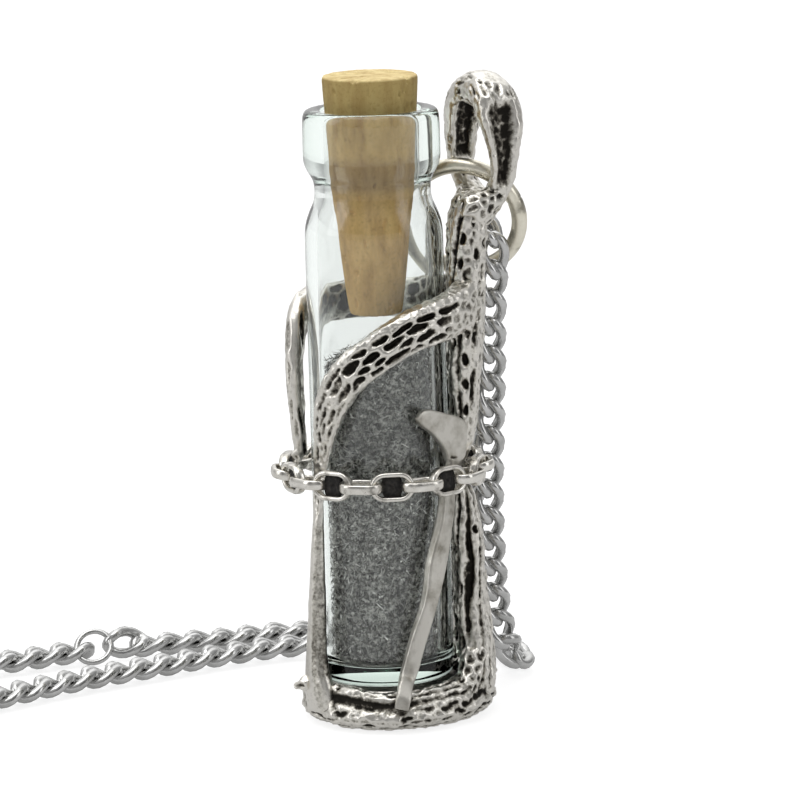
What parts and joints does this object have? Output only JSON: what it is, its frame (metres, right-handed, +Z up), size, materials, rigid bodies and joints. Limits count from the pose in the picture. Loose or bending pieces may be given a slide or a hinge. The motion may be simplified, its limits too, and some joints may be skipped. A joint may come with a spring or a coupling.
{
  "type": "bottle pendant",
  "caption": "Corked glass vial of metal filings in a cast bark-branch cage with a bail, on a jump ring and a long neck chain.",
  "frame": {"origin": "middle of the flat underside of the base, on the floor under the vial's axis", "axes": "+Z up the vial, +X towards the cage's trunk and the bail, -Y the front, where the broad branch crosses the glass"},
  "size_m": [0.2086, 0.1194, 0.0564],
  "materials": {
    "clear_glass": "clear, polished, faint green at the edges",
    "cork": "natural cork, matte, with pores and dark streaks",
    "filings": "dark grey loose filings and small curls with light specks",
    "antique_pewter": "cast bark relief, dark in the pits and polished on the ridges",
    "plain_pewter": "flat bar, softly brushed, with a bright bevel",
    "link_chain": "bright wire with a dark film inside the links",
    "ring_wire": "drawn wire, polished, faint draw marks",
    "curb_chain": "bright polished wire"
  },
  "bodies": {
    "pendant": {"vial": "clear_glass", "filings": "filings", "cage": "antique_pewter", "near_strut": "plain_pewter", "waist_chain": "link_chain", "jump_ring": "ring_wire", "neck_chain": "curb_chain"},
    "cork": {"cork": "cork"}
  },
  "joints": [
    {"name": "cork_pull", "type": "slide", "parent": "pendant", "child": "cork", "axis": [0, 0, 1], "range_m": [0, 0.022]}
  ]
}
